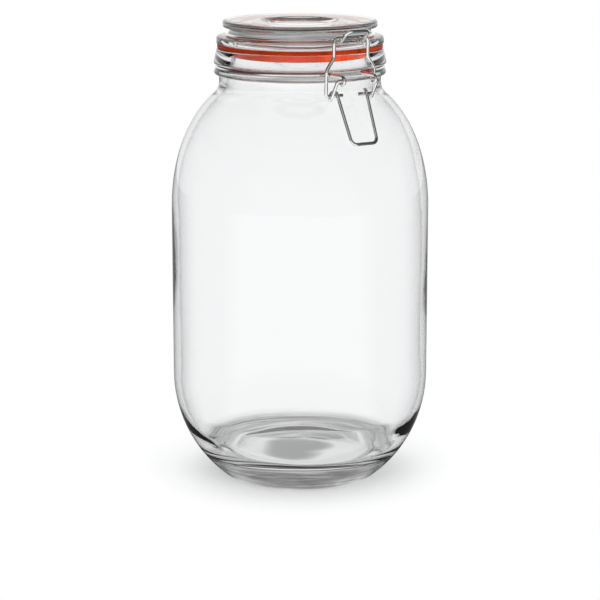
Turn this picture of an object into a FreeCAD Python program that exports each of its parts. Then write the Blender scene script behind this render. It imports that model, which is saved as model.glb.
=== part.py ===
import FreeCAD, Part
import math
import os

V = FreeCAD.Vector

# Wide-mouth swing-top storage jar, in millimetres.
# The jar's axis is Z and it stands on z = 0. The clip is at the front, towards -Y, and the hinge at +Y.

# Glass jar, outside
body_radius = 72.5
heel_top = 58.7
heel_reach = 69.5
heel_drop = 72.4
bearing_width = 6.65
punt_rise = 4.0
shoulder_reach = 48.7
shoulder_rise = 73.6
neck_bend = 9.2

# Glass jar, inside
wall = 3.5
inner_heel_drop = 62.0
floor_height = 15.5
floor_rise = 2.0
floor_bend = 9.0
mouth_radius = 40.5

# Neck finish: a bead, the wire's groove, and a flared collar that carries the sealing rim
neck_radius = 45.2
bead_reach = 2.8
bead_half_height = 1.6
groove_height = 233.7
groove_rise = 8.3
collar_reach = 3.3
collar_rounding = 1.4
rim_reach = 1.2
rim_rise = 10.2
rim_rounding = 1.0

# Wire, and the gaps that it leaves
wire_diameter = 2.0
wire_gap = 0.2
pin_gap = 0.15
bend_radius = 3.0
tight_bend = 1.6

# Seal
seal_radius = 46.2
seal_thickness = 2.1
seal_rounding = 0.5
seat_gap = 0.1

# Glass lid: lower flange, groove, top flange with a sunken dish, and the plug below
lid_radius = 46.7
lid_flange = 4.3
lid_groove_radius = 39.5
lid_groove_width = 4.9
cap_radius = 43.1
cap_thickness = 3.8
dish_radius = 22.0
dish_floor_radius = 20.0
dish_depth = 3.0
plug_radius = 33.3
plug_depth = 7.0
plug_gap = 0.2
recess_radius = 26.0
recess_floor_radius = 24.0
recess_depth = 6.5
lid_rounding = 1.2

# Tongue of the lid wire
tongue_half_width = 7.1
tongue_slope = math.radians(44.0)
tongue_rise = 6.0

# Clasp
clasp_bar_reach = 6.0
clasp_top_half_width = 10.9
clasp_low_half_width = 15.4
clasp_narrow_rise = 9.3
clasp_wide_rise = 2.8
clasp_stub_side = 4.9

# Lever: pins in the neck wire's hooks, coils round the clasp's ends, and the handle
pivot_reach = 12.8
hook_side = 10.2
hook_wrap = math.radians(240.0)
pin_tip_side = 8.2
arm_side = 13.0
coil_reach = 4.9
coil_drop = 8.95
leg_side = 9.5
handle_half_width = 8.2
handle_length = 28.97
handle_gap = 0.1
handle_bend = 3.5

# Rear hinge
hinge_reach = 10.8
hinge_rise = 9.3
hinge_half_width = 8.0
hinge_foot_reach = 5.8
eye_side = 3.5
eye_wrap = math.radians(248.0)
eye_knee_reach = 4.3

# How closely heights and slopes are found
tolerance = 1e-6
lean_steps = 200

# Sizes that follow from those above
wire_radius = wire_diameter / 2
loop_radius = wire_diameter + pin_gap
bead_core_radius = neck_radius + bead_reach - bead_half_height
collar_radius = neck_radius + collar_reach
rim_radius = neck_radius + rim_reach
clasp_bar_out = neck_radius + clasp_bar_reach
pivot_out = neck_radius + pivot_reach
coil_out = neck_radius + coil_reach
hinge_out = neck_radius + hinge_reach
hinge_foot_out = neck_radius + hinge_foot_reach
eye_knee_out = neck_radius + eye_knee_reach
bead_offset = wire_radius + wire_gap + bead_half_height
neck_ring_radius = neck_radius + wire_gap + wire_radius
lid_ring_radius = lid_groove_radius + wire_gap + wire_radius
pivot_height = groove_height - loop_radius
neck_foot = groove_height - groove_rise
rim_top = groove_height + rim_rise
coil_height = pivot_height - coil_drop
clasp_narrow_height = groove_height + clasp_narrow_rise
clasp_wide_height = groove_height + clasp_wide_rise
hinge_height = groove_height + hinge_rise
seal_bottom = rim_top + seat_gap
lid_bottom = seal_bottom + seal_thickness + seat_gap
lid_flange_top = lid_bottom + lid_flange
cap_bottom = lid_flange_top + lid_groove_width
lid_top = cap_bottom + cap_thickness
lid_wire_height = lid_flange_top + wire_gap + wire_radius
clasp_lift = wire_diameter + wire_gap
clasp_bar_height = lid_wire_height + clasp_lift
crook_out = clasp_bar_out + clasp_lift * math.tan(tongue_slope / 2)


def front(side, out, up):
    """A point or direction given from the jar's axis towards the clip."""
    return V(side, -out, up)


def rear(side, out, up):
    """A point or direction given from the jar's axis towards the hinge."""
    return V(side, out, up)


def on_profile(radius, height):
    """A point of a half section, which is turned round the axis."""
    return V(radius, 0, height)


def arc_from(start, heading, end):
    """The arc that leaves start along heading and reaches end."""
    chord = end - start
    along = V(chord).normalize()
    aside = (heading - along * heading.dot(along)).normalize()
    bulge = chord.Length / 2 * math.tan(heading.getAngle(chord) / 2)
    return Part.Arc(start, (start + end) * 0.5 + aside * bulge, end).toShape()


def biarc(start, start_heading, end, end_heading):
    """Two arcs that leave start and reach end along the given headings."""
    span = end - start
    spread = 2 * (1 - start_heading.dot(end_heading))
    across = span.dot(start_heading + end_heading)
    reach = (math.sqrt(across**2 + spread * span.dot(span)) - across) / spread
    first_pole = start + start_heading * reach
    second_pole = end - end_heading * reach
    middle = (first_pole + second_pole) * 0.5
    heading = (second_pole - first_pole).normalize()
    return [arc_from(start, start_heading, middle), arc_from(middle, heading, end)]


def bent_run(points, bends):
    """Straight runs through the points, with each inner corner rounded by its own bend radius."""
    edges = []
    start = points[0]
    for before, corner, after, bend in zip(points, points[1:], points[2:], bends):
        back = (before - corner).normalize()
        ahead = (after - corner).normalize()
        if bend:
            setback = bend / math.tan(back.getAngle(ahead) / 2)
            edges.append(Part.makeLine(start, corner + back * setback))
            edges.append(arc_from(corner + back * setback, back * -1, corner + ahead * setback))
            start = corner + ahead * setback
        else:
            edges.append(Part.makeLine(start, corner))
            start = corner
    edges.append(Part.makeLine(start, points[-1]))
    return edges


def turned(edges):
    """The solid that a closed half section makes when it turns round the axis."""
    return Part.Face(Part.Wire(edges)).revolve(V(0, 0, 0), V(0, 0, 1), 360)


def bent_wire(half):
    """A round wire along a path and its mirror image; the path starts at the middle plane."""
    mirrored = [edge.mirror(V(0, 0, 0), V(1, 0, 0)) for edge in reversed(half)]
    path = Part.Wire(mirrored + half)
    first = path.OrderedEdges[0]
    at_start = first.FirstParameter if first.Orientation == "Forward" else first.LastParameter
    section = Part.makeCircle(wire_radius, first.valueAt(at_start), first.tangentAt(at_start))
    piece = path.makePipeShell([Part.Wire(section)], True, False)
    ideal = math.pi * wire_radius**2 * path.Length
    print(f"wire {path.Length:.1f} long, volume is {piece.Volume / ideal:.5f} of section times length")
    return piece


def branch(radius, side):
    """Where a run at this side offset bends off a ring: the point on the ring, and that on the run."""
    side_of_bend = side + bend_radius
    out_of_bend = math.sqrt((radius + bend_radius) ** 2 - side_of_bend**2)
    share = radius / (radius + bend_radius)
    return (side_of_bend * share, out_of_bend * share), (side, out_of_bend)


def half_ring(radius, height, begin, begin_side, finish, finish_side):
    """The right half of a ring, with a bend at each end on to its run."""
    ring_begin, run_begin = branch(radius, begin_side)
    ring_finish, run_finish = branch(radius, finish_side)
    ring = Part.Arc(begin(*ring_begin, height), V(radius, 0, height), finish(*ring_finish, height))
    return [
        arc_from(begin(*run_begin, height), begin(0, -1, 0), begin(*ring_begin, height)),
        ring.toShape(),
        arc_from(finish(*run_finish, height), finish(0, -1, 0), finish(*ring_finish, height)),
    ]


def meeting_angle(pin, point, hand):
    """The angle round a pin where a straight run from point meets the loop; hand is 1 or -1."""
    out = point[0] - pin[0]
    up = point[1] - pin[1]
    return math.atan2(up, out) + hand * math.acos(loop_radius / math.hypot(out, up))


def loop_point(place, pin, angle, side):
    """A point of a loop round a pin."""
    return place(side, pin[0] + loop_radius * math.cos(angle), pin[1] + loop_radius * math.sin(angle))


def loop(place, pin, angle, turn, side, last_side, begin_heading=None):
    """A loop round a pin, in quarter turns; it shifts from one side offset to another as it goes."""
    pieces = math.ceil(abs(turn) / (math.pi / 2))
    points = []
    headings = []
    for number in range(pieces + 1):
        share = number / pieces
        ease = share**2 * (3 - 2 * share)
        drift = (last_side - side) * 6 * share * (1 - share)
        here = angle + turn * share
        speed = loop_radius * turn
        points.append(loop_point(place, pin, here, side + (last_side - side) * ease))
        headings.append(place(drift, -speed * math.sin(here), speed * math.cos(here)).normalize())
    if begin_heading:
        headings[0] = begin_heading
    edges = []
    for number in range(pieces):
        edges += biarc(points[number], headings[number], points[number + 1], headings[number + 1])
    return edges


def curved_side(centre_radius, centre_height, reach, rise):
    """Radius and slope of an elliptic stretch of a half section, as functions of the height."""

    def radius(height):
        return centre_radius + reach * math.sqrt(1 - ((height - centre_height) / rise) ** 2)

    def heading(height):
        across = -reach * (height - centre_height) / rise**2
        along = math.sqrt(1 - ((height - centre_height) / rise) ** 2)
        return on_profile(across, along).normalize()

    def edge(low, high):
        lower = on_profile(radius(low), low)
        upper = on_profile(radius(high), high)
        tip = on_profile(centre_radius, centre_height + rise)
        side = on_profile(centre_radius + reach, centre_height)
        far, near = (tip, side) if rise > reach else (side, tip)
        ellipse = Part.Ellipse(far, near, on_profile(centre_radius, centre_height))
        first, last = sorted(ellipse.parameter(point) for point in (lower, upper))
        if last - first > math.pi:
            first, last = last, first + 2 * math.pi
        return Part.ArcOfEllipse(ellipse, first, last).toShape()

    return radius, heading, edge


def neck_fillet(start, heading, radius):
    """The arc from a shoulder into an upright neck of the given radius, and the height where it ends."""
    lean = math.atan2(-heading.x, heading.z)
    bend = (start.x - radius) / (1 - math.cos(lean))
    end_height = start.z + bend * math.sin(lean)
    return arc_from(start, heading, on_profile(radius, end_height)), end_height


def fillet_start(side, foot, rise, bend, neck):
    """The height at which a fillet of the given bend leaves a curved side for an upright neck."""
    radius, heading, _ = side
    low = foot
    high = foot + rise
    while high - low > tolerance:
        middle = (low + high) / 2
        lean = math.atan2(-heading(middle).x, heading(middle).z)
        if radius(middle) - bend * (1 - math.cos(lean)) > neck:
            low = middle
        else:
            high = middle
    return low


def shoulder(foot, depth):
    """The shoulder's curve, or the one that lies inside it by the given depth."""
    centre = body_radius - shoulder_reach
    return curved_side(centre, foot, shoulder_reach - depth, shoulder_rise - depth)


def shoulder_span():
    """The heights between which the shoulder runs, so that its fillet ends at the foot of the neck."""
    side = shoulder(0, 0)
    radius, heading, _ = side
    start = fillet_start(side, 0, shoulder_rise, neck_bend, neck_radius)
    _, end = neck_fillet(on_profile(radius(start), start), heading(start), neck_radius)
    return neck_foot - end, neck_foot - end + start


def jar_body():
    """Blown glass: punted base, round heel, straight side, shoulder, and a pressed neck finish."""
    heel_centre = body_radius - heel_reach
    shoulder_foot, shoulder_top = shoulder_span()
    heel_radius, _, heel_edge = curved_side(heel_centre, heel_top, heel_reach, heel_drop)
    shoulder_radius, shoulder_heading, shoulder_edge = shoulder(shoulder_foot, 0)
    inner_heel_radius, _, inner_heel_edge = curved_side(
        heel_centre, heel_top, heel_reach - wall, inner_heel_drop
    )
    inner_side = shoulder(shoulder_foot, wall)
    inner_shoulder_radius, inner_heading, inner_shoulder_edge = inner_side
    inner_top = fillet_start(
        inner_side, shoulder_foot, shoulder_rise - wall, neck_bend + wall, mouth_radius
    )
    inner_radius = body_radius - wall
    bearing_radius = heel_radius(0) - bearing_width
    bead_low = groove_height - bead_offset - bead_half_height
    bead_high = groove_height - bead_offset + bead_half_height
    collar_foot = groove_height + wire_radius + wire_gap
    neck_start = on_profile(shoulder_radius(shoulder_top), shoulder_top)
    fillet, _ = neck_fillet(neck_start, shoulder_heading(shoulder_top), neck_radius)
    mouth_start = on_profile(inner_shoulder_radius(inner_top), inner_top)
    inner_fillet, mouth_foot = neck_fillet(mouth_start, inner_heading(inner_top), mouth_radius)

    punt = arc_from(
        on_profile(0, punt_rise), on_profile(1, 0), on_profile(bearing_radius, 0)
    )
    floor_centre = on_profile(0, floor_height + floor_rise)
    floor = arc_from(
        floor_centre, on_profile(1, 0), on_profile(inner_heel_radius(floor_height), floor_height)
    )
    edges = [
        punt,
        Part.makeLine(on_profile(bearing_radius, 0), on_profile(heel_radius(0), 0)),
        heel_edge(0, heel_top),
        Part.makeLine(on_profile(body_radius, heel_top), on_profile(body_radius, shoulder_foot)),
        shoulder_edge(shoulder_foot, shoulder_top),
        fillet,
    ]
    edges += bent_run(
        [
            on_profile(neck_radius, neck_foot),
            on_profile(neck_radius, bead_low),
            on_profile(bead_core_radius, bead_low),
        ],
        [0],
    )
    edges.append(
        arc_from(
            on_profile(bead_core_radius, bead_low),
            on_profile(1, 0),
            on_profile(bead_core_radius, bead_high),
        )
    )
    edges += bent_run(
        [
            on_profile(bead_core_radius, bead_high),
            on_profile(neck_radius, bead_high),
            on_profile(neck_radius, collar_foot),
            on_profile(collar_radius, collar_foot),
            on_profile(rim_radius, rim_top),
            on_profile(mouth_radius, rim_top),
            on_profile(mouth_radius, mouth_foot),
        ],
        [0, 0, collar_rounding, rim_rounding, rim_rounding],
    )
    edges += [
        inner_fillet,
        inner_shoulder_edge(shoulder_foot, inner_top),
        Part.makeLine(on_profile(inner_radius, shoulder_foot), on_profile(inner_radius, heel_top)),
        inner_heel_edge(floor_height, heel_top),
        floor,
        Part.makeLine(floor_centre, on_profile(0, punt_rise)),
    ]
    jar = turned(edges)
    floor_edge = [
        edge
        for edge in jar.Edges
        if max(abs(edge.BoundBox.ZMin - floor_height), edge.BoundBox.ZLength) < tolerance
    ]
    return jar.makeFillet(floor_bend, floor_edge)


def lid_glass():
    """Pressed glass lid."""
    plug_bottom = lid_bottom - plug_depth
    recess_top = plug_bottom + recess_depth
    dish_bottom = lid_top - dish_depth
    outline = [
        (0, recess_top, 0),
        (recess_floor_radius, recess_top, lid_rounding),
        (recess_radius, plug_bottom, lid_rounding),
        (plug_radius, plug_bottom, lid_rounding),
        (plug_radius, lid_bottom, 0),
        (lid_radius, lid_bottom, lid_rounding),
        (lid_radius, lid_flange_top, lid_rounding),
        (lid_groove_radius, lid_flange_top, 0),
        (lid_groove_radius, cap_bottom, 0),
        (cap_radius, cap_bottom, lid_rounding),
        (cap_radius, lid_top, lid_rounding),
        (dish_radius, lid_top, lid_rounding),
        (dish_floor_radius, dish_bottom, lid_rounding),
        (0, dish_bottom, 0),
    ]
    points = [on_profile(radius, height) for radius, height, _ in outline]
    bends = [bend for _, _, bend in outline[1:-1]]
    return turned(bent_run(points, bends) + [Part.makeLine(points[-1], points[0])])


def sealing_ring():
    """Flat rubber ring, round the plug and between rim and lid."""
    inside = plug_radius + plug_gap
    seal_top = seal_bottom + seal_thickness
    corners = [
        on_profile(inside, seal_bottom + seal_thickness / 2),
        on_profile(inside, seal_bottom),
        on_profile(seal_radius, seal_bottom),
        on_profile(seal_radius, seal_top),
        on_profile(inside, seal_top),
        on_profile(inside, seal_bottom + seal_thickness / 2),
    ]
    return turned(bent_run(corners, [seal_rounding] * 4))


def neck_ring():
    """Wire in the neck groove: a hinge bar at the rear, and hooks for the lever at the front."""
    _, rear_run = branch(neck_ring_radius, hinge_half_width)
    _, front_run = branch(neck_ring_radius, hook_side)
    half = bent_run(
        [
            rear(0, hinge_out, hinge_height),
            rear(hinge_half_width, hinge_out, hinge_height),
            rear(hinge_half_width, hinge_foot_out, groove_height),
            rear(*rear_run, groove_height),
        ],
        [tight_bend, tight_bend],
    )
    half += half_ring(
        neck_ring_radius, groove_height, rear, hinge_half_width, front, hook_side
    )
    half.append(
        Part.makeLine(front(*front_run, groove_height), front(hook_side, pivot_out, groove_height))
    )
    half += loop(front, (pivot_out, pivot_height), math.pi / 2, -hook_wrap, hook_side, hook_side)
    return bent_wire(half)


def lid_ring():
    """Wire in the lid groove: a tongue at the front, and eyes round the hinge bar at the rear."""
    _, front_run = branch(lid_ring_radius, tongue_half_width)
    _, rear_run = branch(lid_ring_radius, eye_side)
    tip_out = crook_out + tongue_rise / math.tan(tongue_slope)
    tip_height = lid_wire_height + tongue_rise
    hinge = (hinge_out, hinge_height)
    eye_angle = meeting_angle(hinge, (eye_knee_out, lid_wire_height), -1)
    half = bent_run(
        [
            front(0, tip_out, tip_height),
            front(tongue_half_width, tip_out, tip_height),
            front(tongue_half_width, crook_out, lid_wire_height),
            front(*front_run, lid_wire_height),
        ],
        [bend_radius, bend_radius],
    )
    half += half_ring(
        lid_ring_radius, lid_wire_height, front, tongue_half_width, rear, eye_side
    )
    half += bent_run(
        [
            rear(*rear_run, lid_wire_height),
            rear(eye_side, eye_knee_out, lid_wire_height),
            loop_point(rear, hinge, eye_angle, eye_side),
        ],
        [bend_radius],
    )
    half += loop(rear, hinge, eye_angle, -eye_wrap, eye_side, eye_side)
    return bent_wire(half)


def clasp():
    """Wire loop that pulls the tongue down; its ends turn in the lever's coils."""

    def leg(side, height):
        share = (height - coil_height) / (clasp_bar_height - coil_height)
        return front(side, coil_out + (clasp_bar_out - coil_out) * share, height)

    half = bent_run(
        [
            leg(0, clasp_bar_height),
            leg(clasp_top_half_width, clasp_bar_height),
            leg(clasp_top_half_width, clasp_narrow_height),
            leg(clasp_low_half_width, clasp_wide_height),
            leg(clasp_low_half_width, coil_height),
            leg(clasp_stub_side, coil_height),
        ],
        [bend_radius, bend_radius, bend_radius, tight_bend],
    )
    return bent_wire(half)


def handle_lean():
    """The slope at which the handle lies along the shoulder."""
    foot, top = shoulder_span()
    radius, _, _ = shoulder(foot, 0)
    leans = []
    for step in range(lean_steps + 1):
        height = foot + (top - foot) * step / lean_steps
        out = radius(height) + wire_radius + handle_gap
        leans.append(math.atan2(out - coil_out, coil_height - height))
    return max(leans)


def lever():
    """Wire handle: its coils hold the clasp, and its pins turn in the neck wire's hooks."""
    coil_pin = (coil_out, coil_height)
    lean = handle_lean()
    handle_bar_out = coil_out + handle_length * math.sin(lean)
    handle_bar_height = coil_height - handle_length * math.cos(lean)
    handle_corner = front(handle_half_width, handle_bar_out, handle_bar_height)
    leave = meeting_angle(coil_pin, (handle_bar_out, handle_bar_height), 1)
    arrive = meeting_angle(coil_pin, (pivot_out, pivot_height), -1) + 2 * math.pi
    leg_top = loop_point(front, coil_pin, leave, leg_side)
    half = bent_run(
        [front(0, handle_bar_out, handle_bar_height), handle_corner, leg_top], [handle_bend]
    )
    half += loop(
        front,
        coil_pin,
        leave,
        arrive - leave,
        leg_side,
        arm_side,
        (leg_top - handle_corner).normalize(),
    )
    half += bent_run(
        [
            loop_point(front, coil_pin, arrive, arm_side),
            front(arm_side, pivot_out, pivot_height),
            front(pin_tip_side, pivot_out, pivot_height),
        ],
        [tight_bend],
    )
    return bent_wire(half)


os.makedirs("parts", exist_ok=True)
for make in (jar_body, lid_glass, sealing_ring, neck_ring, lid_ring, clasp, lever):
    solid = make()
    print(make.__name__, "valid" if solid.isValid() else "not valid", f"{solid.Volume:.1f} mm3")
    solid.exportStep(f"parts/{make.__name__}.step")
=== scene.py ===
# %% [markdown]
# # A swing-top storage jar
# The jar is three moulded pieces, a glass body, a glass lid and a rubber seal, and four bent wires. The
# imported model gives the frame: every piece stands where its solid stands, in metres, with the jar's axis on
# Z, the clip towards -Y and the lid's hinge towards +Y. The half sections below are in millimetres.

# %% Load the frame
import math

import bpy
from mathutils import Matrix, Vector


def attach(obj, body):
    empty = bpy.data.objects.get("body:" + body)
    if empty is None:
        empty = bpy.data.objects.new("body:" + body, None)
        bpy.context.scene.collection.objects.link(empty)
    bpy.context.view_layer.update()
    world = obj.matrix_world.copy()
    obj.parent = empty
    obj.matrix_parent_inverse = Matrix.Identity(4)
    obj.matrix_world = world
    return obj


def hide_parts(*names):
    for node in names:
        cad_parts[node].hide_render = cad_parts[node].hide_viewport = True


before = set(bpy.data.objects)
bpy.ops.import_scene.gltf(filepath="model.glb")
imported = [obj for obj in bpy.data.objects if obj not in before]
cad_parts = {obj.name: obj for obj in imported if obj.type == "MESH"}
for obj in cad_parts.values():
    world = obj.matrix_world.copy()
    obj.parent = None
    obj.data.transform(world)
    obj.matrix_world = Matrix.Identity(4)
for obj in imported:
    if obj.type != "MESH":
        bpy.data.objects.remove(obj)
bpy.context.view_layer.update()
MM = 0.001
scene = bpy.context.scene
print("nodes:", ", ".join(sorted(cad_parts)))

# %% [markdown]
# ## The camera
# The picture looks down a little on the clip side, from well off to the left of the clip. A long lens could
# be faked by an orthographic camera, but the ellipses of lid and base open by different amounts, so a
# perspective camera is placed at the distance that gives both. It stands square to the studio's back wall.

# %% Place the camera
STUDIO_TURN = math.radians(-32.5)
CAMERA_OUT = 1.231
CAMERA_HEIGHT = 0.374
CAMERA_PITCH = math.radians(12.57)
LENS_MM, SENSOR_MM = 132.4, 36
back_wall = Vector((-math.sin(STUDIO_TURN), math.cos(STUDIO_TURN), 0))

camera_data = bpy.data.cameras.new("camera")
camera_data.lens = LENS_MM
camera_data.sensor_width = SENSOR_MM
camera = bpy.data.objects.new("camera", camera_data)
camera.location = -CAMERA_OUT * back_wall + Vector((0, 0, CAMERA_HEIGHT))
camera.rotation_euler = (math.pi / 2 - CAMERA_PITCH, 0, STUDIO_TURN)
scene.collection.objects.link(camera)
scene.camera = camera
print("camera at", [round(x, 3) for x in camera.location])


# %% [markdown]
# ## Helpers for node trees
# Every finish below is a tree of shader nodes. Trees could be drawn by hand in the editor, but in code they
# can be read and changed. One helper adds a node with its settings and joins what feeds it. The others are
# the few trees that come back in every finish: a ramp of tones, a mix of two tones, a smooth step, and
# arithmetic on values.

# %% Nodes and tones
def new_material(name):
    """An empty material with its output node."""
    material = bpy.data.materials.new(name)
    material.use_nodes = True
    tree = material.node_tree
    tree.nodes.clear()
    return material, tree, tree.nodes.new("ShaderNodeOutputMaterial")


def add(tree, kind, inputs=None, **settings):
    """A new node with its settings, and constants or links for its inputs."""
    node = tree.nodes.new(kind)
    for key, value in settings.items():
        setattr(node, key, value)
    for key, value in (inputs or {}).items():
        if isinstance(value, bpy.types.NodeSocket):
            tree.links.new(value, node.inputs[key])
        else:
            node.inputs[key].default_value = value
    return node


def ramp(tree, factor, stops, interpolation="LINEAR"):
    """A colour ramp of (place, grey or colour) stops."""
    node = add(tree, "ShaderNodeValToRGB", {"Fac": factor})
    node.color_ramp.interpolation = interpolation
    elements = node.color_ramp.elements
    while len(elements) < len(stops):
        elements.new(0.5)
    for element, (place, colour) in zip(elements, stops):
        element.position = place
        element.color = (*colour, 1) if isinstance(colour, tuple) else (colour,) * 3 + (1,)
    return node.outputs["Color"]


def blend(tree, share, first, second):
    """A mix of two colours, given as colours or as sockets."""
    return add(
        tree, "ShaderNodeMixRGB", {"Fac": share, "Color1": first, "Color2": second}
    ).outputs["Color"]


print("made the node helpers new_material, add, ramp and blend")


# %% Arithmetic on values
def between(tree, value, low, high, first=0.0, last=1.0):
    """A smooth step of a value, from first at low to last at high."""
    return add(
        tree,
        "ShaderNodeMapRange",
        {"Value": value, "From Min": low, "From Max": high, "To Min": first, "To Max": last},
        interpolation_type="SMOOTHSTEP",
    ).outputs[0]


def times(tree, first, second):
    """The product of two values."""
    return add(tree, "ShaderNodeMath", {0: first, 1: second}, operation="MULTIPLY").outputs[0]


def larger(tree, first, second):
    """The larger of two values."""
    return add(tree, "ShaderNodeMath", {0: first, 1: second}, operation="MAXIMUM").outputs[0]


print("made the value helpers between, times and larger")

# %% [markdown]
# ## The room
# Clear glass and bright wire have hardly any colour of their own: they are drawn by what stands round them,
# so the room matters more than the lamps. A picture of a studio could be wrapped round the scene, but a few
# ramps say the same in numbers that a reader can change. The camera sees plain white. A mirrored ray finds
# a bright wall at the back, a dimmer one at the front and dark ones at the sides, which gives the wires a
# light core and dark edges. A ray that has passed through glass finds a bright horizon and a greyer
# ceiling. Matt surfaces get one even grey.

# %% Which ray asks, and where it goes
def seen_rays(tree, path):
    """1 for rays from a mirror or from glass, and 0 for the light that falls on a matt surface."""
    return larger(tree, path.outputs["Is Glossy Ray"], path.outputs["Is Transmission Ray"])


def along_room(tree, direction):
    """0 for directions that point at the room's front, 0.5 at its sides and 1 at its back wall."""
    along = add(
        tree, "ShaderNodeVectorMath", {0: direction, 1: tuple(back_wall)}, operation="DOT_PRODUCT"
    ).outputs["Value"]
    return add(
        tree, "ShaderNodeMapRange", {"Value": along, "From Min": -1.0, "From Max": 1.0}
    ).outputs[0]


print("the back wall lies towards", [round(x, 2) for x in back_wall])

# %% The room
WHITE = (1, 1, 1, 1)
EVEN_GREY = (0.66, 0.66, 0.66, 1)
WALL_TONES = [(0.0, 0.42), (0.12, 0.4), (0.25, 0.06), (0.66, 0.05), (0.84, 0.85), (1.0, 1.0)]
SKY_TONES = [(0.0, 1.0), (0.16, 0.95), (0.36, 0.62), (0.8, 0.5), (1.0, 0.6)]

world = bpy.data.worlds.new("room")
scene.world = world
world.use_nodes = True
tree = world.node_tree
tree.nodes.clear()
direction = add(tree, "ShaderNodeTexCoord").outputs["Generated"]
upward = add(tree, "ShaderNodeSeparateXYZ", {0: direction}).outputs["Z"]
walls = ramp(tree, along_room(tree, direction), WALL_TONES, "EASE")
sky = ramp(tree, upward, SKY_TONES, "EASE")
path = add(tree, "ShaderNodeLightPath")
seen = blend(tree, path.outputs["Is Transmission Ray"], walls, sky)
seen_or_lit = blend(tree, seen_rays(tree, path), EVEN_GREY, seen)
room_tone = blend(tree, path.outputs["Is Camera Ray"], seen_or_lit, WHITE)
background = add(tree, "ShaderNodeBackground", {"Color": room_tone, "Strength": 1.0})
add(tree, "ShaderNodeOutputWorld", {"Surface": background.outputs[0]})
print("room with", len(WALL_TONES), "wall tones and", len(SKY_TONES), "sky tones")

# %% [markdown]
# ## The floor
# The jar stands on white paper. A shadow catcher would need a second picture to lay the shadow over, so the
# paper is matt near the jar, where it takes the soft shadow, and turns to the room's plain white further
# out. Glass and wire see the paper too: mirrored rays find it bright at the front and dark at the sides,
# and rays through the base find it grey under the middle of the jar, where little light gets in, and white
# outside.

# %% The floor's sheet
FLOOR_SPAN = 4.0
FLOOR_DROP = 0.0002

half = FLOOR_SPAN / 2
floor_mesh = bpy.data.meshes.new("floor")
floor_mesh.from_pydata(
    [(-half, -half, 0), (half, -half, 0), (half, half, 0), (-half, half, 0)], [], [(0, 1, 2, 3)]
)
floor = bpy.data.objects.new("floor", floor_mesh)
floor.location.z = -FLOOR_DROP
scene.collection.objects.link(floor)
print("floor of", FLOOR_SPAN, "m")

# %% The paper's finish
PAPER = (0.93, 0.93, 0.93, 1)
SHADOW_NEAR, SHADOW_FAR = 0.06, 0.20
SHADE_NEAR, SHADE_FAR = 0.014, 0.11
MIRRORED_TONES = [(0.0, 1.0), (0.16, 1.0), (0.32, 0.1), (0.66, 0.08), (0.95, 0.3)]
SHADE_TONES = [(0.0, 0.3), (0.02, 0.86), (0.3, 0.9), (1.0, 1.0)]

paper, tree, output = new_material("white_paper")
place = add(tree, "ShaderNodeTexCoord").outputs["Object"]
distance = add(tree, "ShaderNodeVectorMath", {0: place}, operation="LENGTH").outputs["Value"]
way = add(tree, "ShaderNodeVectorMath", {0: place}, operation="NORMALIZE").outputs["Vector"]
path = add(tree, "ShaderNodeLightPath")
mirrored = ramp(tree, along_room(tree, way), MIRRORED_TONES, "EASE")
through = ramp(tree, between(tree, distance, SHADE_NEAR, SHADE_FAR), SHADE_TONES)
seen = blend(tree, path.outputs["Is Transmission Ray"], mirrored, through)
paper_tone = blend(tree, path.outputs["Is Camera Ray"], seen, WHITE)
plain = add(tree, "ShaderNodeEmission", {"Color": paper_tone, "Strength": 1.0})
matt = add(tree, "ShaderNodeBsdfDiffuse", {"Color": PAPER})
open_floor = times(
    tree, path.outputs["Is Camera Ray"], between(tree, distance, SHADOW_NEAR, SHADOW_FAR)
)
plain_share = larger(tree, open_floor, seen_rays(tree, path))
mix = add(tree, "ShaderNodeMixShader", {0: plain_share, 1: matt.outputs[0], 2: plain.outputs[0]})
tree.links.new(mix.outputs[0], output.inputs["Surface"])
floor_mesh.materials.append(paper)
print("paper takes the shadow up to", SHADOW_FAR, "m from the axis")

# %% [markdown]
# ## The lamps
# Three large soft lamps light the matt surfaces: a key from the upper left, a low fill at the front that
# reaches the seal under the lid's overhang, and one above. Mirrored in glass they would show as hard
# squares, where the room's soft walls already give the reflections, so glass and wire don't see them.

# %% Hang the lamps
LAMP_AIM = Vector((0, 0, 0.12))
LAMPS = {
    "key_lamp": {"place": (-1.0, -0.7, 1.3), "size": 0.9, "power": 9},
    "fill_lamp": {"place": (0.35, -1.3, 0.32), "size": 0.5, "power": 14},
    "top_lamp": {"place": (0.1, 0.3, 1.5), "size": 1.0, "power": 6},
}


def soft_lamp(name, place, size, power):
    """A square lamp that faces the jar and isn't mirrored by glass and wire."""
    data = bpy.data.lights.new(name, "AREA")
    data.size = size
    data.energy = power
    lamp = bpy.data.objects.new(name, data)
    lamp.location = place
    lamp.rotation_euler = (LAMP_AIM - Vector(place)).to_track_quat("-Z", "Y").to_euler()
    lamp.visible_glossy = False
    lamp.visible_transmission = False
    scene.collection.objects.link(lamp)


for name, values in LAMPS.items():
    soft_lamp(name, **values)
    print(name, values["power"], "W")

# %% [markdown]
# ## Clear glass
# Soda-lime glass is nearly colourless. A thin-shell shader would be quicker, but the thick lid and base owe
# their look to real refraction, so the glass is a solid with an index of 1.5. At a grazing angle it passes
# less light, which draws the thin dark line at every edge. Where the glass is thick, it also gets painted
# shade: grey level streaks in its colour, which stand for the dark light that thick glass bends in from the
# room. The streaks are noise drawn out sideways, laid on only where the piece gives its share of painted
# shade. Light on its way to the floor passes straight through, which keeps the shadow pale.

# %% Helpers for surface detail
def noise(tree, place, scale, detail):
    """Cloudy noise from 0 to 1."""
    return add(
        tree, "ShaderNodeTexNoise", {"Vector": place, "Scale": scale, "Detail": detail}
    ).outputs["Fac"]


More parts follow.
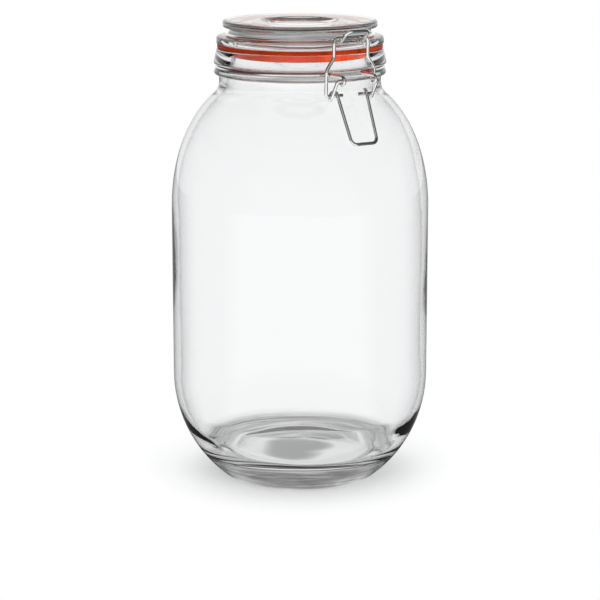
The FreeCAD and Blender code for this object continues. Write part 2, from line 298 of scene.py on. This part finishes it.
def spread(tree, value, low, high):
    """A value from 0 to 1 spread over low to high."""
    return add(tree, "ShaderNodeMapRange", {"Value": value, "To Min": low, "To Max": high}).outputs[0]


def relief(tree, height, strength, depth):
    """A normal tilted by small bumps."""
    return add(
        tree, "ShaderNodeBump", {"Strength": strength, "Distance": depth, "Height": height}
    ).outputs[0]


def height_and_radius(tree, place):
    """Height of a point, and its distance from the jar's axis, in millimetres."""
    scaled = add(tree, "ShaderNodeVectorMath", {0: place, "Scale": 1 / MM}, operation="SCALE").outputs[0]
    height = add(tree, "ShaderNodeSeparateXYZ", {0: scaled}).outputs["Z"]
    flat = add(tree, "ShaderNodeVectorMath", {0: scaled, 1: (1, 1, 0)}, operation="MULTIPLY").outputs[0]
    radius = add(tree, "ShaderNodeVectorMath", {0: flat}, operation="LENGTH").outputs["Value"]
    return height, radius


print("made the detail helpers noise, spread, relief and height_and_radius")

# %% Glass finish
GLASS_INDEX = 1.5
CLEAR = (0.972, 0.975, 0.978)
IN_SHADOW = (0.93, 0.94, 0.94, 1)
EDGE_PLACES = (0.78, 0.93)
STREAK_STRETCH = (26.0, 26.0, 620.0)
STREAK_PLACES = (0.36, 0.5, 0.64)
RIPPLE_SCALE, RIPPLE_STRENGTH, RIPPLE_DEPTH = 38.0, 0.06, 0.001
MOST_ROUGH = 0.02


def glass_finish(name, edge, shade_greys, shade_share):
    """Clear glass that darkens at a grazing angle, and takes painted shade in grey streaks where the given
    share of painted shade is near 1.
    """
    material, tree, output = new_material(name)
    place = add(tree, "ShaderNodeTexCoord").outputs["Object"]
    facing = add(tree, "ShaderNodeLayerWeight", {"Blend": 0.5}).outputs["Facing"]
    clear = ramp(tree, facing, [(0.0, CLEAR), (0.5, CLEAR), *zip(EDGE_PLACES, edge)])
    drawn_out = add(
        tree, "ShaderNodeVectorMath", {0: place, 1: STREAK_STRETCH}, operation="MULTIPLY"
    ).outputs["Vector"]
    # Painted shade: grey streaks in the glass's colour, for the darker light that thick glass refracts.
    grey = ramp(tree, noise(tree, drawn_out, 1.0, 3.0), list(zip(STREAK_PLACES, shade_greys)))
    ripple = noise(tree, place, RIPPLE_SCALE, 2.0)
    surface = add(
        tree,
        "ShaderNodeBsdfPrincipled",
        {
            "Base Color": blend(tree, shade_share(tree, place), clear, grey),
            "Roughness": spread(tree, ripple, 0.0, MOST_ROUGH),
            "IOR": GLASS_INDEX,
            "Transmission Weight": 1.0,
            "Normal": relief(tree, ripple, RIPPLE_STRENGTH, RIPPLE_DEPTH),
        },
    )
    straight = add(tree, "ShaderNodeBsdfTransparent", {"Color": IN_SHADOW})
    shadow = add(tree, "ShaderNodeLightPath").outputs["Is Shadow Ray"]
    mix = add(tree, "ShaderNodeMixShader", {0: shadow, 1: surface.outputs[0], 2: straight.outputs[0]})
    tree.links.new(mix.outputs[0], output.inputs["Surface"])
    print("glass finish:", material.name)
    return material


# %% [markdown]
# ## Turning a half section
# The body, the lid and the seal are all round, so each starts as a half section of (radius, height) points.
# A Screw modifier could turn it, but a mesh made in code closes the poles cleanly and lets each point be
# shifted a little, as blown glass is never perfectly even.

# %% Curves of a half section
def arc_points(centre, radius, start, end, steps):
    """Points on a circle in the half section, from one angle to another, in degrees."""
    found = []
    for step in range(steps + 1):
        angle = math.radians(start + (end - start) * step / steps)
        found.append((centre[0] + radius * math.cos(angle), centre[1] + radius * math.sin(angle)))
    return found


def ellipse_points(centre, reach, rise, low, high, steps):
    """Points on the outer side of an upright ellipse, from one height to another, spread by its angle."""
    first = math.asin((low - centre[1]) / rise)
    last = math.asin((high - centre[1]) / rise)
    found = []
    for step in range(steps + 1):
        angle = first + (last - first) * step / steps
        found.append((centre[0] + reach * math.cos(angle), centre[1] + rise * math.sin(angle)))
    return found


def rounded(corners, steps=5):
    """A run of (radius, height, bend) corners with each corner replaced by an arc of its bend."""
    found = []
    for index, (radius, height, bend) in enumerate(corners):
        if bend == 0:
            found.append((radius, height))
            continue
        here = Vector((radius, height))
        before = (Vector(corners[index - 1][:2]) - here).normalized()
        after = (Vector(corners[index + 1][:2]) - here).normalized()
        half_angle = before.angle(after) / 2
        middle = here + (before + after).normalized() * bend / math.sin(half_angle)
        enter = (here + before * bend / math.tan(half_angle) - middle).normalized()
        leave = (here + after * bend / math.tan(half_angle) - middle).normalized()
        for step in range(steps + 1):
            found.append(tuple(middle + enter.slerp(leave, step / steps) * bend))
    return found


print("a rounded corner has", len(rounded([(0, 0, 0), (9, 0, 2), (9, 9, 0)])) - 2, "points")

# %% Turned meshes
TURN_STEPS = 224
ON_AXIS = 1e-6
SHARP_ANGLE = math.radians(38)


def ring_faces(low, high):
    """The faces between two rings of points, either of which may be a single point on the axis."""
    found = []
    for step in range(TURN_STEPS):
        following = (step + 1) % TURN_STEPS
        if len(low) == 1:
            found.append((low[0], high[following], high[step]))
        elif len(high) == 1:
            found.append((low[step], low[following], high[0]))
        else:
            found.append((low[step], low[following], high[following], high[step]))
    return found


def turned_mesh(name, section, shift=None, closed=False):
    """A half section turned round the Z axis. shift(radius, height, angle, index) moves a point."""
    points = []
    rings = []
    for index, (radius, height) in enumerate(section):
        if radius < ON_AXIS:
            rings.append([len(points)])
            points.append((0, 0, height * MM))
            continue
        rings.append(list(range(len(points), len(points) + TURN_STEPS)))
        for step in range(TURN_STEPS):
            angle = 2 * math.pi * step / TURN_STEPS
            out, up = shift(radius, height, angle, index) if shift else (radius, height)
            points.append((out * math.cos(angle) * MM, out * math.sin(angle) * MM, up * MM))
    if closed:
        rings.append(rings[0])
    faces = [face for low, high in zip(rings, rings[1:]) for face in ring_faces(low, high)]
    mesh = bpy.data.meshes.new(name)
    mesh.from_pydata(points, [], faces)
    mesh.validate()
    mesh.shade_smooth()
    mesh.set_sharp_from_angle(angle=SHARP_ANGLE)
    piece = bpy.data.objects.new(name, mesh)
    scene.collection.objects.link(piece)
    print(f"{name}: {len(points)} points, {len(faces)} faces")
    return piece


print("a turned piece has a point every", round(360 / TURN_STEPS, 2), "degrees")

# %% [markdown]
# ## Outside of the glass body
# The outside is a punted base, a bearing ring, a round heel, a straight side and a shoulder that runs into
# the neck by a hollow curve. The neck has a bead, a groove for the wire, and a collar that leans in towards
# the sealing rim. Heel and shoulder could be plain arcs, but quarters of ellipses follow the blown form
# better.

# %% Curves of the body
DOME_STEPS = 22


def dome_points(edge_radius, edge_height, rise):
    """A shallow dome from the axis out to its edge."""
    ball = (edge_radius**2 + rise**2) / (2 * rise)
    radii = [edge_radius * step / DOME_STEPS for step in range(DOME_STEPS + 1)]
    return [(r, edge_height + rise - ball + math.sqrt(ball**2 - r**2)) for r in radii]


def radius_at(curve, height):
    """Radius of an ellipse's outer side at a height."""
    across = (height - curve["centre"][1]) / curve["rise"]
    return curve["centre"][0] + curve["reach"] * math.sqrt(1 - across**2)


def hollow_curve(curve, top, neck, steps=10):
    """The arc that carries a shoulder on into an upright neck."""
    start = radius_at(curve, top)
    up = (top - curve["centre"][1]) / curve["rise"]
    lean = math.atan2(curve["reach"] * up / curve["rise"], math.sqrt(1 - up**2))
    bend = (start - neck) / (1 - math.cos(lean))
    centre = (neck + bend, top + bend * math.sin(lean))
    return arc_points(centre, bend, 180 + math.degrees(lean), 180, steps)


print("made the body's curves dome_points, radius_at and hollow_curve")

# %% Half section of the outside
BODY_RADIUS = 72.47
HEEL_CENTRE, SHOULDER_CENTRE = (3.0, 58.7), (23.8, 154.9)
HEEL = {"centre": HEEL_CENTRE, "reach": BODY_RADIUS - HEEL_CENTRE[0], "rise": 72.4}
SHOULDER = {"centre": SHOULDER_CENTRE, "reach": BODY_RADIUS - SHOULDER_CENTRE[0], "rise": 73.6}
SHOULDER_TOP = 218.5
BEARING_RADIUS, PUNT_RISE = 37.0, 4.0
NECK_RADIUS = 45.2
BEAD_CENTRE, BEAD_SIZE = (46.4, 230.9), 1.6
HEEL_STEPS, SHOULDER_STEPS, SIDE_STEPS, BEAD_STEPS = 40, 36, 12, 14

side_foot, side_top = HEEL_CENTRE[1], SHOULDER_CENTRE[1]
side_heights = [side_foot + (side_top - side_foot) * step / SIDE_STEPS for step in range(1, SIDE_STEPS)]

outside = dome_points(BEARING_RADIUS, 0, PUNT_RISE)
outside += ellipse_points(**HEEL, low=0, high=side_foot, steps=HEEL_STEPS)
outside += [(BODY_RADIUS, height) for height in side_heights]
outside += ellipse_points(**SHOULDER, low=side_top, high=SHOULDER_TOP, steps=SHOULDER_STEPS)
outside += hollow_curve(SHOULDER, SHOULDER_TOP, NECK_RADIUS)[1:]
outside.append((NECK_RADIUS, BEAD_CENTRE[1] - BEAD_SIZE))
outside += arc_points(BEAD_CENTRE, BEAD_SIZE, -90, 90, BEAD_STEPS)
outside.append((NECK_RADIUS, BEAD_CENTRE[1] + BEAD_SIZE))
print("points in the outside's half section:", len(outside))

# %% [markdown]
# ## Collar, rim and inside of the glass body
# The mouth is moulded, and the shoulder and side keep an even wall. Below, the glass runs down while it is
# hot and gathers in a thick base with a round edge to its floor. The inside could follow the outside at one
# depth, but the picture owes its dark heel to that thick base, so heel and floor have curves of their own,
# with an arc between them that touches both.

# %% Half section of collar and rim
WALL = 3.5
MOUTH_RADIUS = 40.5
COLLAR_RADIUS, COLLAR_FOOT, COLLAR_ROUND = 48.5, 234.9, 1.4
RIM_RADIUS, RIM_TOP, RIM_ROUND = 46.4, 243.9, 1.0

inner_shoulder = {
    "centre": SHOULDER_CENTRE,
    "reach": SHOULDER["reach"] - WALL,
    "rise": SHOULDER["rise"] - WALL,
}
inner_top = SHOULDER_TOP - WALL
mouth_curve = hollow_curve(inner_shoulder, inner_top, MOUTH_RADIUS)[::-1]
rim = rounded(
    [
        (NECK_RADIUS, COLLAR_FOOT, 0),
        (COLLAR_RADIUS, COLLAR_FOOT, COLLAR_ROUND),
        (RIM_RADIUS, RIM_TOP, RIM_ROUND),
        (MOUTH_RADIUS, RIM_TOP, RIM_ROUND),
        (*mouth_curve[0], 0),
    ]
)
print("the mouth is", 2 * MOUTH_RADIUS, "mm wide")

# %% Curve of the floor
FLOOR_HEIGHT, FLOOR_RISE, FLOOR_BEND = 15.0, 2.0, 13.0
FLOOR_BEND_STEPS = 14
HALVINGS = 40


def floor_curve(curve):
    """Where the inside of the heel ends, and the arc and dome by which it runs into the floor, inwards."""
    edge = radius_at(curve, FLOOR_HEIGHT)
    ball = (edge**2 + FLOOR_RISE**2) / (2 * FLOOR_RISE)
    ball_centre = Vector((0, FLOOR_HEIGHT + FLOOR_RISE - ball))
    low, high = FLOOR_HEIGHT, curve["centre"][1]
    for _ in range(HALVINGS):
        middle = (low + high) / 2
        foot = Vector((radius_at(curve, middle), middle))
        from_centre = foot - Vector(curve["centre"])
        steepest = Vector((from_centre.x / curve["reach"] ** 2, from_centre.y / curve["rise"] ** 2))
        outward = steepest.normalized()
        centre = foot - outward * FLOOR_BEND
        if (centre - ball_centre).length > ball + FLOOR_BEND:
            high = middle
        else:
            low = middle
    landing = centre + (ball_centre - centre).normalized() * FLOOR_BEND
    first = math.degrees(math.atan2(outward.y, outward.x))
    last = math.degrees(math.atan2(landing.y - centre.y, landing.x - centre.x))
    arc = arc_points(centre, FLOOR_BEND, first, last, FLOOR_BEND_STEPS)
    radii = [landing.x * (1 - step / DOME_STEPS) for step in range(1, DOME_STEPS + 1)]
    return foot.y, arc + [(r, ball_centre.y + math.sqrt(ball**2 - r**2)) for r in radii]


INNER_HEEL = {"centre": HEEL_CENTRE, "reach": 66.0, "rise": 67.0}
heel_end, floor_points = floor_curve(INNER_HEEL)
print("the inside of the heel ends", round(heel_end, 1), "mm above the table")

# %% Half section of the inside
inner_shoulder_points = ellipse_points(
    **inner_shoulder, low=side_top, high=inner_top, steps=SHOULDER_STEPS
)
inner_heel_points = ellipse_points(**INNER_HEEL, low=heel_end, high=side_foot, steps=SHOULDER_STEPS)
inside = mouth_curve[1:]
inside += inner_shoulder_points[::-1][1:]
inside += [(BODY_RADIUS - WALL, height) for height in reversed(side_heights)]
inside += inner_heel_points[::-1]
inside += floor_points[1:]
body_section = outside + rim + inside
first_inside = len(outside + rim)
print("points in the body's half section:", len(body_section))

# %% [markdown]
# ## Finish and waves of the glass body
# The heel outside the bearing ring and the bead with its groove are the body's thick places, and they get
# the painted shade: grey streaks that darken the heel as a shadow under the jar would, and the bead and
# groove round the wire. The outside touched the mould and is true. The inside touched nothing but air, so it
# waves slowly, and the floor sags unevenly. A displace modifier could do that, but a few sines round the axis
# repeat without a seam.

# %% Finish of the body
BODY_EDGE = ((0.70, 0.71, 0.72), (0.05, 0.05, 0.055))
# Painted shade: the greys of the streaks, the heights over which the heel's shade fades, and its shares on
# bead and collar.
BODY_SHADE_GREYS = (0.07, 0.2, 0.55)
HEEL_SHADE_HEIGHTS = (10, 19)
BEAD_SHARE, COLLAR_SHARE = 0.75, 0.12


def jar_painted_shade(tree, place):
    """Where the jar gets painted shade: the heel outside the bearing ring, and the neck's bead and groove."""
    height, radius = height_and_radius(tree, place)
    outer = between(tree, radius, BEARING_RADIUS + 0.5, BEARING_RADIUS + 4)
    heel = times(tree, outer, between(tree, height, *HEEL_SHADE_HEIGHTS, 1.0, 0.0))
    bead = between(tree, height, BEAD_CENTRE[1] - 2.4, BEAD_CENTRE[1] - 1.4, 0.0, BEAD_SHARE)
    under_collar = between(tree, height, COLLAR_FOOT - 0.4, COLLAR_FOOT + 1.6, 1.0, COLLAR_SHARE)
    return larger(tree, heel, times(tree, bead, under_collar))


jar_glass = glass_finish("jar_glass", BODY_EDGE, BODY_SHADE_GREYS, jar_painted_shade)

# %% Turn the body
WAVE_LOW, WAVE_HIGH, WAVE_FADE = 30, 208, 30
SAG_TOP, SAG_FADE, SAG_REACH = 40, 12, 30
WAVE_DEPTH, SAG_DEPTH = 0.1, 0.5


def clamped(value):
    """A value kept between 0 and 1."""
    return max(0.0, min(1.0, value))


def blown(radius, height, angle, index):
    """The inside's slow waves, which fade out towards the neck and the floor, and the floor's own sag."""
    if index < first_inside:
        return radius, height
    fade = min(clamped((height - WAVE_LOW) / WAVE_FADE), clamped((WAVE_HIGH - height) / WAVE_FADE))
    wave = 0.16 * math.sin(3 * angle + height / 27) + 0.10 * math.sin(5 * angle - height / 15 + 1.3)
    sag = clamped((SAG_TOP - height) / SAG_FADE) * min(1.0, radius / SAG_REACH)
    out = 0.35 * math.sin(2 * angle + 0.7) + 0.2 * math.sin(5 * angle + height / 3)
    up = 0.3 * math.sin(2 * angle - 0.4) + 0.2 * math.sin(3 * angle + radius / 6)
    return radius + fade * (wave - WAVE_DEPTH) + sag * (out - SAG_DEPTH), height + sag * up


jar = turned_mesh("jar_glass_body", body_section, blown)
jar.data.materials.append(jar_glass)
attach(jar, "jar")
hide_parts("jar_body")

# %% [markdown]
# ## The glass lid
# The lid is pressed: a lower flange that bears on the seal, a groove for the wire, a top flange with a
# sunken dish, and a plug that centres the lid in the mouth. It could be cut from discs with booleans, but a
# turned half section rounds every corner alike, as hot glass leaves a mould, and those small roundings
# carry most of the bright and dark lines in the picture.

# %% Turn the lid
LID_ROUND = 1.2
RECESS_RADIUS, RECESS_MOUTH, RECESS_TOP = 24.0, 26.0, 245.7
PLUG_RADIUS, PLUG_FOOT = 33.3, 239.2
FLANGE_RADIUS, FLANGE_FOOT, FLANGE_TOP = 46.7, 246.2, 250.5
GROOVE_RADIUS = 39.5
CAP_RADIUS, CAP_FOOT, CAP_TOP = 43.1, 255.4, 259.2
DISH_RADIUS, DISH_MOUTH, DISH_FLOOR = 20.0, 22.0, 256.2

LID_CORNERS = [
    (0, RECESS_TOP, 0),
    (RECESS_RADIUS, RECESS_TOP, LID_ROUND),
    (RECESS_MOUTH, PLUG_FOOT, LID_ROUND),
    (PLUG_RADIUS, PLUG_FOOT, LID_ROUND),
    (PLUG_RADIUS, FLANGE_FOOT, 0),
    (FLANGE_RADIUS, FLANGE_FOOT, LID_ROUND),
    (FLANGE_RADIUS, FLANGE_TOP, LID_ROUND),
    (GROOVE_RADIUS, FLANGE_TOP, 0),
    (GROOVE_RADIUS, CAP_FOOT, 0),
    (CAP_RADIUS, CAP_FOOT, LID_ROUND),
    (CAP_RADIUS, CAP_TOP, LID_ROUND),
    (DISH_MOUTH, CAP_TOP, LID_ROUND),
    (DISH_RADIUS, DISH_FLOOR, LID_ROUND),
    (0, DISH_FLOOR, 0),
]
lid = turned_mesh("lid_glass_pressing", rounded(LID_CORNERS))
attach(lid, "lid")
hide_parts("lid_glass")

# %% [markdown]
# ## Finish of the lid
# The lid's upright faces look through the whole width of the glass, so they get painted shade in grey
# streaks, most of all on the top flange and in the groove, with a painted shadow line where the groove meets
# the ledge below it. The top shows clear. The streaks count only where light enters: laid on both ways, the
# far rim would darken the dish as well.

# %% Painted shade of the lid
LID_EDGE = ((0.95, 0.95, 0.95), (0.85, 0.85, 0.85))
# Painted shade: the greys of the lid's streaks, their shares on dish, flange and sides, and a painted shadow
# on the ledge.
LID_SHADE_GREYS = (0.01, 0.04, 0.22)
DISH_SHARE, FLANGE_SHARE, SIDE_SHARE, LEDGE_SHADOW_SHARE = 0.08, 0.2, 0.95, 0.85


def lid_painted_shade(tree, place):
    """Where the lid gets painted shade: grey streaks on its upright faces, and a painted shadow on the ledge
    in front of the groove.
    """
    height, radius = height_and_radius(tree, place)
    geometry = add(tree, "ShaderNodeNewGeometry")
    upward = add(tree, "ShaderNodeSeparateXYZ", {0: geometry.outputs["Normal"]}).outputs["Z"]
    level = add(tree, "ShaderNodeMath", {0: upward}, operation="ABSOLUTE").outputs[0]
    entering = between(tree, geometry.outputs["Backfacing"], 0.0, 1.0, 1.0, 0.0)
    outer = larger(
        tree,
        between(tree, radius, GROOVE_RADIUS - 3.5, GROOVE_RADIUS - 1.5),
        between(tree, height, DISH_FLOOR - 0.2, DISH_FLOOR + 0.4, 0.0, DISH_SHARE),
    )
    upper = between(tree, height, FLANGE_TOP - 0.7, FLANGE_TOP - 0.1, FLANGE_SHARE, 1.0)
    sides = times(tree, times(tree, outer, upper), between(tree, level, 0.6, 0.97, SIDE_SHARE, 0.0))
    below = between(tree, height, FLANGE_TOP + 0.1, FLANGE_TOP + 0.5, LEDGE_SHADOW_SHARE, 0.0)
    above = between(tree, height, FLANGE_TOP - 1.0, FLANGE_TOP - 0.3)
    corner = times(
        tree,
        between(tree, radius, GROOVE_RADIUS - 0.5, GROOVE_RADIUS - 0.1),
        between(tree, radius, GROOVE_RADIUS + 1.5, GROOVE_RADIUS + 3.5, 1.0, 0.15),
    )
    ledge = times(tree, times(tree, below, above), corner)
    return times(tree, entering, larger(tree, sides, ledge))


lid.data.materials.append(glass_finish("lid_glass_finish", LID_EDGE, LID_SHADE_GREYS, lid_painted_shade))

# %% [markdown]
# ## The rubber seal
# The seal is a moulded ring of orange rubber between rim and lid, with a lip that hangs in the mouth and
# shows through the collar as a second band. One flat orange would look like plastic. The rubber is matt
# with hardly any gloss and has the fine grain of its mould. Its outer edge is painted darker, a painted
# shade for the shadow under the lid's flange, and the face under the lid is painted pale, a painted light
# that keeps the lid's top pale instead of orange.

# %% Turn the seal
SEAL_RADIUS, SEAL_BORE = 46.2, 33.5
SEAL_FOOT, SEAL_TOP, SEAL_ROUND = 244.0, 246.1, 0.5
LIP_RADIUS, LIP_ROOT, LIP_FOOT, LIP_ROUND = 40.2, 40.3, 239.0, 1.0
BORE_FOOT, BORE_ROUND = 239.8, 0.8
SEAM = (SEAL_BORE, 243.0, 0)

SEAL_CORNERS = [
    SEAM,
    (SEAL_BORE, BORE_FOOT, BORE_ROUND),
    (LIP_RADIUS, LIP_FOOT, LIP_ROUND),
    (LIP_ROOT, SEAL_FOOT, 0),
    (SEAL_RADIUS, SEAL_FOOT, SEAL_ROUND),
    (SEAL_RADIUS, SEAL_TOP, SEAL_ROUND),
    (SEAL_BORE, SEAL_TOP, SEAL_ROUND),
    SEAM,
]
seal = turned_mesh("rubber_seal", rounded(SEAL_CORNERS, 4)[:-1], closed=True)
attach(seal, "lid")
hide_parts("sealing_ring")

# %% Seal finish
CLOUD_PLACES = (0.3, 0.7)
FRESH_ORANGE = ((0.93, 0.05, 0.0), (1.0, 0.09, 0.0))
# Painted shade: the outer edge darker, for the shadow under the lid's flange.
SHADED_EDGE_ORANGE = ((0.22, 0.013, 0.0), (0.33, 0.026, 0.001))
# Painted light: the face under the lid paler, so the lid's top shows pale instead of orange.
PAINTED_PALE_ORANGE = ((0.80, 0.22, 0.10), (0.88, 0.30, 0.16))
CLOUD_SCALE = 60.0
GRAIN_SCALE, GRAIN_STRENGTH, GRAIN_DEPTH = 1800.0, 0.25, 0.0001

rubber, tree, output = new_material("orange_rubber")
place = add(tree, "ShaderNodeTexCoord").outputs["Object"]
height, radius = height_and_radius(tree, place)
cloud = noise(tree, place, CLOUD_SCALE, 4.0)
grain = noise(tree, place, GRAIN_SCALE, 2.0)
fresh = ramp(tree, cloud, list(zip(CLOUD_PLACES, FRESH_ORANGE)))
shaded_edge = ramp(tree, cloud, list(zip(CLOUD_PLACES, SHADED_EDGE_ORANGE)))
painted_pale = ramp(tree, cloud, list(zip(CLOUD_PLACES, PAINTED_PALE_ORANGE)))
# The outer edge, where the painted shade goes.
outer_edge = between(tree, radius, SEAL_RADIUS - 2.2, SEAL_RADIUS - 0.2)
# The face under the lid, where the painted light goes.
top_face = times(
    tree,
    between(tree, height, SEAL_TOP - 0.35, SEAL_TOP - 0.05),
    between(tree, radius, SEAL_RADIUS - 1.6, SEAL_RADIUS - 0.6, 1.0, 0.0),
)
surface = add(
    tree,
    "ShaderNodeBsdfPrincipled",
    {
        "Base Color": blend(tree, top_face, blend(tree, outer_edge, fresh, shaded_edge), painted_pale),
        "Roughness": spread(tree, cloud, 0.38, 0.55),
        "Specular IOR Level": 0.06,
        "Normal": relief(tree, grain, GRAIN_STRENGTH, GRAIN_DEPTH),
    },
)
tree.links.new(surface.outputs[0], output.inputs["Surface"])
seal.data.materials.append(rubber)
print("seal gets", rubber.name)

# %% [markdown]
# ## The wires
# All four wires are the same bright drawn steel. They could be drawn again as bevelled curves, but their
# solids already have every bend, so they stay as they are and only get a finish: a mirror with a few dull
# patches and fine marks.

# %% Wire finish
WIRES = ("neck_ring", "lid_ring", "lever", "clasp")
STEEL = ((0.84, 0.84, 0.83), (0.95, 0.95, 0.94))
PATCH_SCALE = 140.0
MARK_SCALE, MARK_STRENGTH, MARK_DEPTH = 2200.0, 0.12, 0.00005

steel, tree, output = new_material("drawn_wire")
place = add(tree, "ShaderNodeTexCoord").outputs["Object"]
patches = noise(tree, place, PATCH_SCALE, 3.0)
marks = noise(tree, place, MARK_SCALE, 1.0)
surface = add(
    tree,
    "ShaderNodeBsdfPrincipled",
    {
        "Base Color": ramp(tree, patches, list(zip(CLOUD_PLACES, STEEL))),
        "Metallic": 1.0,
        "Roughness": spread(tree, patches, 0.05, 0.14),
        "Normal": relief(tree, marks, MARK_STRENGTH, MARK_DEPTH),
    },
)
tree.links.new(surface.outputs[0], output.inputs["Surface"])

for name in WIRES:
    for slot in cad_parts[name].material_slots:
        slot.material = steel
    print(name, "gets", steel.name)

# %% [markdown]
# ## The finished frame
# The picture keeps its colours as they are written, so the view transform is the standard one. The visual
# model keeps to the box of the imported model.

# %% The view transform
scene.view_settings.view_transform = "Standard"
